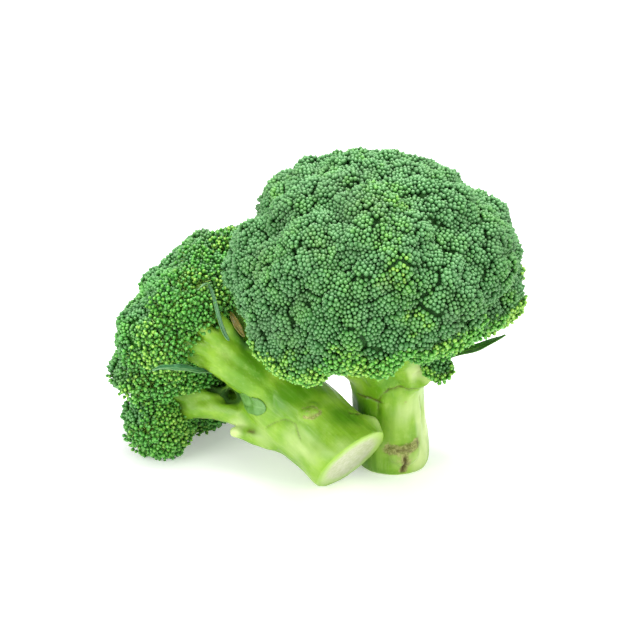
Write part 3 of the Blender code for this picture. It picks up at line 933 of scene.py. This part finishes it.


# Stalks. All paths are in millimetres in the head's space. A branchlet is x, y, z and radius along its
# middle. A ring of them is how many, the middle at the crown, and distance out, z and radius along each. A
# stroke is its path, width and height over the skin; a scar, hollow or crack is a path, width and strength,
# and a hollow is painted shade in a recess between limbs; a wash is a middle, size and strength: above zero
# a deeper green, partly the skin's own and partly painted shade, and below zero pale, partly the skin's own
# and partly painted light.
standingStalk = {
    "name": "standingStalk",
    "node": "standing_stalk",
    "head": "standing",
    "under": ("standingCrown", "standingSideFloret"),
    "cutSlope": 0.0,
    "cutDepth": 0.0003,  # of the flat cut, inside the solid's
    "branchlets": (((5, -14, 46, 5.0), (6, -20, 56, 5.4), (6.5, -27, 67, 4.4), (6, -31, 76, 2.2)),),
    "branchletRing": (14, (-7, -9), (20, 64, 4.6), (33, 78, 4.0), (46, 88, 3.2)),
    "ringFrom": 0,
    "strokes": (
        (((-4, -20.5, 48.5), (2, -22.0, 49.5), (8, -20.0, 48.5), (13, -15.5, 48.0)), 0.8, -1.1),
        (((-9.0, -18.5, 34), (-8.5, -20.5, 42), (-4, -21, 48.5)), 0.8, -0.7),
        (((4, -21, 44),), 3.5, 0.5),
        (((-18, -12, 42.5), (-12, -16, 43), (-7, -19, 40)), 0.8, -0.8),
        (((4.0, -19.5, 14),), 9.0, 0.8),
        (((-4, -18.6, 16), (1, -19.4, 18), (7, -18.0, 18.5), (13, -13.0, 18)), 0.8, -0.7),
        (((4.8, -20, 0.5), (5.6, -20.5, 5), (5.0, -20.5, 11)), 1.1, -1.8),
        (((14, -12, 40), (15.5, -9, 32), (14.5, -10, 26)), 0.7, -0.5),
        (((3, -18.0, 40), (6, -17.4, 39)), 0.7, -0.5),
    ),
    "scars": (
        (((-3, -18.5, 15.5), (2, -19.5, 15), (7, -18.5, 15), (12, -14.5, 17.5)), 2.9, 0.85),
        (((5.2, -20.5, 12), (5.6, -20, 3)), 2.6, 0.8),
        (((4, -20, 11),), 5.0, 0.45),
        (((5, -17.6, 41),), 1.3, 0.5),
    ),
    "cracks": (
        (((4.8, -20, 1.0), (5.8, -20.5, 5), (5.0, -20.5, 11)), 0.9, 1.0),
        (((0, -19.6, 14), (4, -20.4, 15.5), (8, -18.6, 14)), 0.6, 0.8),
        (((11, -15, 15), (13, -13, 19)), 0.7, 0.8),
        (((-18, -12, 42.5), (-12, -16, 43), (-7, -19, 40)), 0.6, 0.9),
        (((-6, -20.5, 46.5), (-2, -21.5, 49), (3, -22, 49.5), (8, -20, 48.5), (13, -15.5, 48)), 0.5, 0.75),
        (((-9.0, -18.5, 36), (-8.5, -20.5, 42), (-6, -20.5, 46.5)), 0.4, 0.45),
        (((14, -12, 41), (15.5, -9, 33), (14.5, -10, 27)), 0.4, 0.4),
    ),
    # Washes above zero paint shade on the shaded left side; below zero they paint light on the lit right
    # side.
    "washes": (
        ((-17, -13, 30), 13, 0.9), ((-13, -14, 10), 9, 0.8), ((-8, -19, 46), 8, 0.6),
        ((13, -12, 38), 9, -0.8), ((15, -8, 22), 9, -0.8), ((14, -11, 8), 7, -0.7), ((8, -25, 63), 8, -1.3),
        ((-1, -22, 56), 4, 0.6), ((5, -19, 30), 8, -0.35),
    ),
    "shadeUnderCrownFrom": (40, 80),
}
lyingStalk = {
    "name": "lyingStalk",
    "node": "lying_stalk",
    "head": "lying",
    "under": ("lyingCrown", "lyingLowFloret"),
    "cutSlope": -0.249,
    "cutDepth": 0.0004,
    "branchlets": (
        ((15, 7, 44, 5.5), (23, 11, 61, 4.6), (29.5, 12.5, 77, 4.0), (38, 12, 94, 3.4), (42, 12, 104, 3.0)),
        ((14, 10, 46, 5.5), (23, 16, 63, 4.8), (31.5, 19, 80, 4.2), (39, 20, 98, 3.4), (42, 21, 108, 3.0)),
        ((12, 13, 48, 5.5), (21, 21, 66, 4.8), (28, 26, 82, 4.2), (34, 31, 100, 3.4), (36, 33, 108, 3.0)),
        ((8, 14, 46, 5.5), (14, 22, 62, 4.6), (20, 30, 81, 3.4), (25, 37, 98, 3.0), (27, 40, 106, 2.8)),
        ((4, 14, 50, 5.0), (8, 26, 70, 4.0), (9, 36, 88, 3.6), (9, 43, 104, 3.0)),
        ((23, -17, 80, 3.2), (32, -18, 92, 2.8), (40, -22, 100, 2.4)),
    ),
    "branchletRing": (9, (0, 0), (18, 74, 4.4), (30, 88, 3.8), (42, 100, 3.0)),
    "ringFrom": 100,
    "strokes": (
        (((22, 3.5, 55), (20, -1, 61), (19, -7, 73), (21, -8, 82)), 3.0, -4.4),
        (((16, 31, 72), (16, 33, 82), (17, 37, 93)), 2.4, -3.8),
        (((-12, 17, 4.0),), 4.5, 2.4),
        (((-4, 20.5, 12.5), (-10, 18, 10.5), (-16, 12.5, 9)), 0.9, -1.3),
        (((13.2, 18.5, 24),), 5.0, 0.4),
        ((
            (9.5, 19.5, 20), (11.5, 20.5, 25.5), (14.0, 17.5, 28.5), (16.5, 15.5, 25), (14.5, 16.5, 20),
            (9.5, 19.5, 20),
        ), 0.7, -0.5),
        (((22, -2, 40), (21.3, 3, 37), (19.3, 8.8, 32.2), (18.1, 10.1, 25.8), (19.6, 5.4, 19.4)), 0.8, -0.6),
        (((19.5, 2.0, 33), (19.5, 5, 29), (19.2, 6, 24)), 1.8, 0.5),
        (((17, 12, 44), (19.3, 9.5, 39), (19.3, 9.8, 34)), 1.0, -0.5),
        (((23.5, -15, 55), (25, -17, 57.5)), 2.0, 0.8),
    ),
    "scars": (
        (((9.5, 19.5, 20), (14.0, 17.0, 19.8), (16.5, 15.5, 24)), 1.3, 0.7),
        (((9.5, 19.5, 20), (11.5, 20.5, 25.5), (14.0, 17.5, 28.5)), 0.8, 0.55),
        (((13.2, 18.3, 24),), 4.2, 0.42), (((-8, 19, 10.5), (-14, 14, 9.5)), 1.6, 0.7),
    ),
    "cracks": (
        (((-4, 20.5, 12.5), (-10, 18, 10.5), (-16, 12.5, 9)), 0.6, 0.9),
        (((22.0, -10.8, 48.5), (22.3, -9.5, 46)), 1.1, 1.0),
        (((22, -2, 40), (21.3, 3, 37), (19.3, 8.8, 32.2), (18.1, 10.1, 25.8), (19.6, 5.4, 19.4)), 0.35, 0.45),
    ),
    # Hollows are painted shade in the recesses between limbs.
    "hollows": (
        (((20.5, 2.5, 53), (18, -1, 60.5), (17, -8, 73), (19.5, -8, 81), (22, -8.3, 90)), 3.6, 1.0),
        (((18, 35, 96), (15.3, 33.4, 86.6), (15.4, 30.3, 82), (18.9, 31.6, 73), (19.7, 29.7, 69)), 3.0, 0.85),
        (((20, -22, 84), (30, -24, 92)), 5.0, 0.7),
    ),
    "washes": (
        ((0, 20.5, 13), 8, 1.0), ((7.5, 20, 38), 10, 0.9), ((17, 14, 42), 7, 0.5), ((19, 26, 64), 8, 1.0),
        ((13, 21, 60), 8, 0.9), ((18, 31, 73), 6, 0.7), ((25.5, -16.3, 56.9), 6, -1.3),
        ((21, -9, 42), 7, -0.5), ((19, 6, 10), 8, -0.6), ((20.5, 1, 22), 8, -0.4),
        ((28.7, 17, 72), 9, -0.35), ((-12, 17, 4), 5, -0.6),
        ((24, -12, 73), 7, -0.3),
    ),
    "shadeUnderCrownFrom": (30, 105),
}
sculpting = {
    "voxel": 0.00095,
    "rounds": 9,
    # millimetres high, millimetres across
    "lumps": (0.35, 9),
    "ribs": (0.22, 2.6),
    "bark": (0.35, 1.4),
    "endReach": 0.0065,  # of the limbs' ends to the crown
    "endSink": 0.0025,
    "endRounds": 2,
    "cutFade": 3.0,  # millimetres of quiet skin at the cut
    "share": 0.50,  # of the faces, kept afterwards
    "crispAngle": 50,
}


# A limb, bevelled along a curve
def growBranchlet(stations):
    bpy.ops.curve.primitive_nurbs_path_add()
    guide = bpy.context.object
    guide.data.splines.clear()
    spline = guide.data.splines.new("BEZIER")
    spline.bezier_points.add(len(stations) - 1)
    for point, (x, y, z, radius) in zip(spline.bezier_points, stations):
        point.co = (x / 1000, y / 1000, z / 1000)
        point.radius = radius / 1000
        point.handle_left_type = point.handle_right_type = "AUTO"
    guide.data.bevel_depth = 1.0
    guide.data.bevel_resolution = 2
    guide.data.resolution_u = 5
    guide.data.use_fill_caps = True
    selectOnly(guide)
    bpy.ops.object.convert(target="MESH")
    return bpy.context.object


def branchletsOf(stalk):
    stations = list(stalk["branchlets"])
    count, (middleX, middleY), *ring = stalk["branchletRing"]
    for number in range(count):
        angle = math.radians(stalk["ringFrom"] + (360 - stalk["ringFrom"]) * number / count)
        stations.append([
            (middleX * z / 90 + out * math.cos(angle), middleY * z / 90 + out * math.sin(angle), z, radius)
            for out, z, radius in ring
        ])
    return [growBranchlet(path) for path in stations]


# How far each point is from a path, all in millimetres
def awayFromPath(points, path):
    path = np.array(path, float)
    if len(path) == 1:
        return np.linalg.norm(points - path[0], axis=1)
    found = np.full(len(points), 1e9)
    for start, stop in zip(path[:-1], path[1:]):
        along = stop - start
        share = np.clip((points - start) @ along / (along @ along), 0, 1)
        found = np.minimum(found, np.linalg.norm(points - start - share[:, None] * along, axis=1))
    return found


# A path drawn over the skin, so that a stroke never loses it
def laidOn(surface, path, head):
    path = np.array(path, float)
    steps = np.linspace(0, len(path) - 1, 1 + 6 * (len(path) - 1))
    drawn = np.stack([np.interp(steps, np.arange(len(path)), axis) for axis in path.T], axis=1)
    found = [surface.find_nearest(heads[head] @ Vector(point / 1000))[0] for point in drawn]
    return toHead(np.array(found), head) * 1000


def strongestOf(points, strokes):
    ragged = 1 + 0.22 * patches(points, 2.0, 23)
    found = np.zeros(len(points))
    for path, width, strength in strokes:
        found = np.maximum(found, strength * np.exp(-((awayFromPath(points, path) * ragged / width) ** 4)))
    return found


# The limbs' ends run on into the crown.
def drawEnds(piece, stalk):
    points, normals = pointsOf(piece), normalsOf(piece)
    for core in stalk["under"]:
        surface = surfaceOf(crownCores[core])
        for number, (point, normal) in enumerate(zip(points, normals)):
            hit = surface.find_nearest(Vector(point), sculpting["endReach"])
            if hit[0] is not None:
                gap = np.array(hit[0]) - point
                size = max(np.linalg.norm(gap), 1e-6)
                facing = gap @ normal / size
                if facing > 0:
                    points[number] = point + gap * (1 + sculpting["endSink"] / size) * min(1, facing * 1.6)
    movePoints(piece, points)
    applied(piece, "SMOOTH", factor=0.5, iterations=sculpting["endRounds"])


# Lumps, creases and scars pushed into the skin, and the marks that colour it
def sculptSkin(piece, stalk):
    points, normals = pointsOf(piece), normalsOf(piece)
    local = toHead(points, stalk["head"]) * 1000
    surface = surfaceOf(piece)
    laid = {
        kind: [(laidOn(surface, path, stalk["head"]), *rest) for path, *rest in stalk[kind]]
        for kind in ("strokes", "scars", "cracks")
    }
    scar, crack = [strongestOf(local, laid[kind]) for kind in ("scars", "cracks")]
    hollow = strongestOf(local, stalk.get("hollows", ()))
    lump, lumpSize = sculpting["lumps"]
    rib, ribSize = sculpting["ribs"]
    bark, barkSize = sculpting["bark"]
    push = lump * patches(local, lumpSize, 21) + rib * patches(local * (1, 1, 0.22), ribSize, 22)
    for path, width, depth in laid["strokes"]:
        push = push + depth * np.exp(-((awayFromPath(local, path) / width) ** 2))
    push = push + scar * bark * patches(local, barkSize, 24)
    cutAway = np.abs(local[:, 2] - stalk["cutSlope"] * local[:, 1])
    push = push * smoothStep(0.0, sculpting["cutFade"], cutAway)
    movePoints(piece, points + normals * push[:, None] / 1000)
    # Painted shade: the skin gets darker towards the crown above it.
    low, high = stalk["shadeUnderCrownFrom"]
    wash = 0.55 * smoothStep(low, high, local[:, 2] + 9 * patches(local, 11, 25))
    wash = wash + 0.30 * patches(local, 13, 26)
    # Each wash: a deeper green with painted shade above zero, pale with painted light below.
    for middle, size, strength in stalk["washes"]:
        away = awayFromPath(local, (middle,)) * (1 + 0.22 * patches(local * (1, 1, 0.4), 4, 27))
        wash = wash + strength * np.exp(-((away / size) ** 3))
    deepGreenAndShade, pale = np.clip(wash, 0, 1), np.clip(-wash, 0, 1)
    setMarks(piece, {"scar": scar, "crack": crack, "hollow": hollow, "deepGreenAndShade": deepGreenAndShade, "pale": pale})


def growStalk(stalk, finish):
    head = heads[stalk["head"]]
    piece = copyOfNode(stalk["node"], stalk["name"])
    added = branchletsOf(stalk)
    for branchlet in added:
        branchlet.data.transform(head)
    selectOnly(piece, *added)
    bpy.ops.object.join()
    applied(piece, "REMESH", mode="VOXEL", voxel_size=sculpting["voxel"])
    applied(piece, "SMOOTH", factor=0.5, iterations=sculpting["rounds"])
    drawEnds(piece, stalk)
    sculptSkin(piece, stalk)
    applied(piece, "DECIMATE", ratio=sculpting["share"])

    # A flat, crisp cut, a little inside the solid's
    through = head @ Vector((0, 0, stalk["cutDepth"]))
    across = (head.to_3x3() @ Vector((0, -stalk["cutSlope"], 1))).normalized()
    inEditMode(piece, lambda: bpy.ops.mesh.bisect(
        plane_co=through, plane_no=across, use_fill=True, clear_inner=True
    ))
    selectOnly(piece)
    bpy.ops.object.shade_smooth_by_angle(angle=math.radians(sculpting["crispAngle"]))
    piece.data.materials.append(finish.material)
    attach(piece, "root")
    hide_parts(stalk["node"])
    triangles = sum(len(face.vertices) - 2 for face in piece.data.polygons)
    print(piece.name, "has", triangles, "triangles")
    return surfaceOf(piece)


def makeStalkFinish(stalk):
    skin = Finish(
        stalk["name"] + "Skin", Specular_IOR_Level=0.30, Subsurface_Weight=0.06,
        Subsurface_Scale=0.003, Subsurface_Radius=(0.9, 1.0, 0.35),
    )
    inverse = heads[stalk["head"]].inverted()
    turned = inverse.to_3x3().to_euler()
    inputs = {"Vector": skin.place(), "Location": inverse.translation, "Rotation": turned}
    local = skin.node("ShaderNodeMapping", inputs=inputs)
    fibres = skin.noise(skin.stretched(local, (900, 900, 40)), 1.0, 4, 0.6)
    streaks = skin.noise(skin.stretched(local, (260, 260, 22)), 1.0, 3)
    mottle = skin.noise(local, 75, 3)
    grit = skin.noise(local, 1400, 3, 0.6)
    scar, crack, hollow, deepGreenAndShade, pale = [
        skin.attribute(mark) for mark in ("scar", "crack", "hollow", "deepGreenAndShade", "pale")
    ]
    deepGreenAndShade = skin.clamped(deepGreenAndShade + (streaks - 0.5) * 0.5)
    blotch = skin.noise(local, 190, 4, 0.65)
    wood = skin.noise(local, 620, 5, 0.75)
    base = skin.mix(skin.ramped(mottle, 0.30, 0.70), (0.145, 0.310, 0.009), (0.235, 0.415, 0.030))
    base = skin.mix(skin.ramped(blotch, 0.50, 0.72) * 0.55, base, (0.120, 0.300, 0.012))
    base = skin.mix(skin.ramped(blotch, 0.48, 0.30) * 0.40, base, (0.320, 0.490, 0.080))
    # Painted shade, with the skin's own deeper green.
    base = skin.mix(deepGreenAndShade * 0.85, base, (0.066, 0.215, 0.004))
    # Pale: the skin's own pale patches, and painted light on the lit side.
    base = skin.mix(skin.clamped(pale * 1.1 + (streaks + blotch - 1.0) * pale), base, (0.48, 0.60, 0.22))
    base = skin.mix(skin.ramped(fibres, 0.50, 0.80) * 0.28, base, (0.38, 0.52, 0.15))
    base = skin.mix(skin.ramped(grit, 0.62, 0.78) * 0.16, base, (0.44, 0.56, 0.24))
    bark = skin.mix(skin.ramped(wood, 0.38, 0.62), (0.120, 0.100, 0.025), (0.360, 0.350, 0.130))
    base = skin.mix(skin.ramped(scar + (wood - 0.5) * 1.3, 0.25, 0.75) * 0.85, base, bark)
    base = skin.mix(skin.clamped(crack * (0.5 + wood * 0.8)), base, (0.080, 0.060, 0.015))
    # Painted shade in the hollows between limbs.
    base = skin.mix(hollow * 0.92, base, (0.010, 0.055, 0.005))

    # The cut: pale pith, a ring of strands and a green rim
    x, y, z = skin.axes(local)
    above = z - y * stalk["cutSlope"]
    out = (x * x + y * y) ** 0.5 * 1000 + (mottle - 0.5) * 5
    cells = skin.noise(local, 420, 4, 0.6)
    pith = skin.mix(skin.ramped(cells, 0.35, 0.70), (0.43, 0.47, 0.26), (0.57, 0.58, 0.44))
    pith = skin.mix(skin.ramped(out, 12.5, 17.8), pith, (0.40, 0.57, 0.16))
    pith = skin.mix(skin.ramped(out, 17.6, 20.0), pith, (0.29, 0.49, 0.060))
    onCut = skin.ramped(above, 0.0011, 0.0007)
    base = skin.mix(onCut, base, pith)
    ribs = fibres * 0.5 + streaks * 0.3 + grit * 0.15 + blotch * 0.3 + wood * scar * 1.6 - crack * 0.7
    skin.feed(
        Base_Color=base,
        Roughness=0.28 + mottle * 0.14 + scar * 0.40 + hollow * 0.5,
        Normal=skin.bump(ribs, 0.35, 0.0006),
    )
    return skin


stalkSurfaces = {}
for stalk in (standingStalk, lyingStalk):
    stalkSurfaces[stalk["head"]] = growStalk(stalk, makeStalkFinish(stalk))


# Leaves. Each is a thin blade along a path, in millimetres in its head's space.
blades = (
    {
        "name": "standingLeaf", "node": "standing_leaf", "head": "standing", "finish": "dark",
        "path": ((11, -6, 55), (26, -7.2, 61), (41, -6.5, 65), (55.3, -3, 70.5)),
        "facing": (0, -0.30, 1), "halfWidth": 3.3, "cup": 0.9, "belly": 0.85,
    },
    {
        "name": "lyingLeafLow", "node": "lying_leaf_low", "head": "lying", "finish": "blue",
        "path": ((30, 8.5, 76), (41, 11.5, 80), (53, 14.5, 83), (64.5, 16.4, 83.5)),
        "facing": (0.35, 0.92, 0.15), "halfWidth": 2.7, "cup": 0.8, "belly": 0.9,
    },
    {
        "name": "lyingLeafHigh", "node": "lying_leaf_high", "head": "lying", "finish": "blue",
        "path": ((28.0, 31, 73), (28.5, 37.5, 82), (26, 44, 92), (27, 48.5, 97), (33, 47, 97)),
        "facing": (0.67, 0.56, -0.49), "halfWidth": 0.95, "cup": 0.3, "belly": 0.5,
    },
    {
        "name": "lyingLeafInner", "node": "lying_leaf_high", "head": "lying", "finish": "dry",
        "path": ((20.0, 32.2, 71), (19.0, 34.4, 79), (17.0, 36.0, 87)),
        "facing": (0.67, 0.56, -0.49), "halfWidth": 1.7, "cup": 0.5, "belly": 0.9,
    },
    {
        "name": "lyingLeafFork", "node": "lying_leaf_fork", "head": "lying", "finish": "young",
        "path": ((22.3, 7.5, 43.5), (22.6, 3.5, 52.5), (22.8, -1.5, 61.5)),
        "facing": (1, 0.2, 0), "halfWidth": 5.4, "cup": 0.0, "belly": 1.0, "round": 0.45, "pressed": True,
    },
)
# What a blade has unless it says otherwise
bladeShape = {
    "across": 8,
    "along": 28,
    "thickness": 0.0005,
    "leastWidth": 0.12,
    "round": 0.7,
    "wave": 0.35,  # millimetres, on a blade with a half width of waveWidth
    "waveWidth": 3,
    "waves": 17,
    "pressed": False,  # onto the stalk's skin
    "pressedLift": 0.0004,
}
# dark, light and rib of each finish
leafColours = {
    "dark": ((0.016, 0.090, 0.010), (0.045, 0.180, 0.025), (0.16, 0.36, 0.06)),
    "blue": ((0.014, 0.085, 0.028), (0.040, 0.165, 0.060), (0.20, 0.38, 0.15)),
    "young": ((0.070, 0.205, 0.020), (0.110, 0.270, 0.050), (0.14, 0.31, 0.07)),
    "dry": ((0.100, 0.100, 0.008), (0.210, 0.150, 0.016), (0.20, 0.22, 0.04)),
}


def makeLeafFinish(name, dark, light, rib):
    blade = Finish(name + "Leaf")
    across, along, _ = blade.axes(blade.node("ShaderNodeTexCoord", output="UV"))
    aside = blade.maths("ABSOLUTE", across - 0.5)
    vein = blade.maths("ABSOLUTE", blade.maths("SINE", (along - aside * 0.35) * 30))
    mottle = blade.noise(blade.place(), 420, 4, 0.6)
    base = blade.mix(blade.ramped(mottle, 0.32, 0.68), dark, light)
    base = blade.mix(blade.ramped(vein, 0.22, 0.05) * 0.35, base, rib)
    base = blade.mix(blade.ramped(aside, 0.07, 0.03) * 0.8, base, rib)
    base = blade.mix(blade.ramped(aside, 0.44, 0.50) * 0.5, base, rib)
    height = mottle * 0.4 - blade.ramped(vein, 0.22, 0.05) * 0.3 + blade.ramped(aside, 0.09, 0.03)
    blade.feed(Base_Color=base, Roughness=0.32 + mottle * 0.2, Normal=blade.bump(height, 0.35, 0.0004))
    return blade.material


def growBlade(blade, finish):
    bpy.ops.mesh.primitive_grid_add(
        x_subdivisions=blade["across"], y_subdivisions=blade["along"], size=2, calc_uvs=True
    )
    piece = bpy.context.object
    piece.name = piece.data.name = blade["name"]
    grid = pointsOf(piece)
    across, along = grid[:, 0], (grid[:, 1] + 1) / 2
    steps = np.linspace(0, 1, len(blade["path"]))
    curves = [np.polyfit(steps, axis, len(steps) - 1) for axis in np.transpose(blade["path"])]
    middle = np.stack([np.polyval(curve, along) for curve in curves], axis=1)
    ahead = unit(np.stack([np.polyval(np.polyder(curve), along) for curve in curves], axis=1))
    side = unit(np.cross(ahead, np.array(blade["facing"], float)))
    facing = np.cross(side, ahead)
    bulge = np.sin(math.pi * along ** blade["belly"]) ** blade["round"]
    width = blade["halfWidth"] * np.maximum(bulge, blade["leastWidth"])
    wave = blade["wave"] * np.sin(along * blade["waves"]) * across**2
    wave = wave * (blade["halfWidth"] / blade["waveWidth"])
    points = middle + side * (across * width)[:, None] + facing * (blade["cup"] * across**2 + wave)[:, None]
    head = np.array(heads[blade["head"]])
    points = points / 1000 @ head[:3, :3].T + head[:3, 3]
    if blade["pressed"]:
        hits = [stalkSurfaces[blade["head"]].find_nearest(point) for point in points]
        points = np.array([hit[0] + hit[1] * blade["pressedLift"] for hit in hits])
    movePoints(piece, points)
    applied(piece, "SOLIDIFY", thickness=blade["thickness"], offset=0)
    shadeSmooth(piece)
    piece.data.materials.append(finish)
    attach(piece, "root")
    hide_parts(blade["node"])


leafFinishes = {name: makeLeafFinish(name, *colours) for name, colours in leafColours.items()}
for blade in blades:
    growBlade({**bladeShape, **blade}, leafFinishes[blade["finish"]])
print("leaves are on")
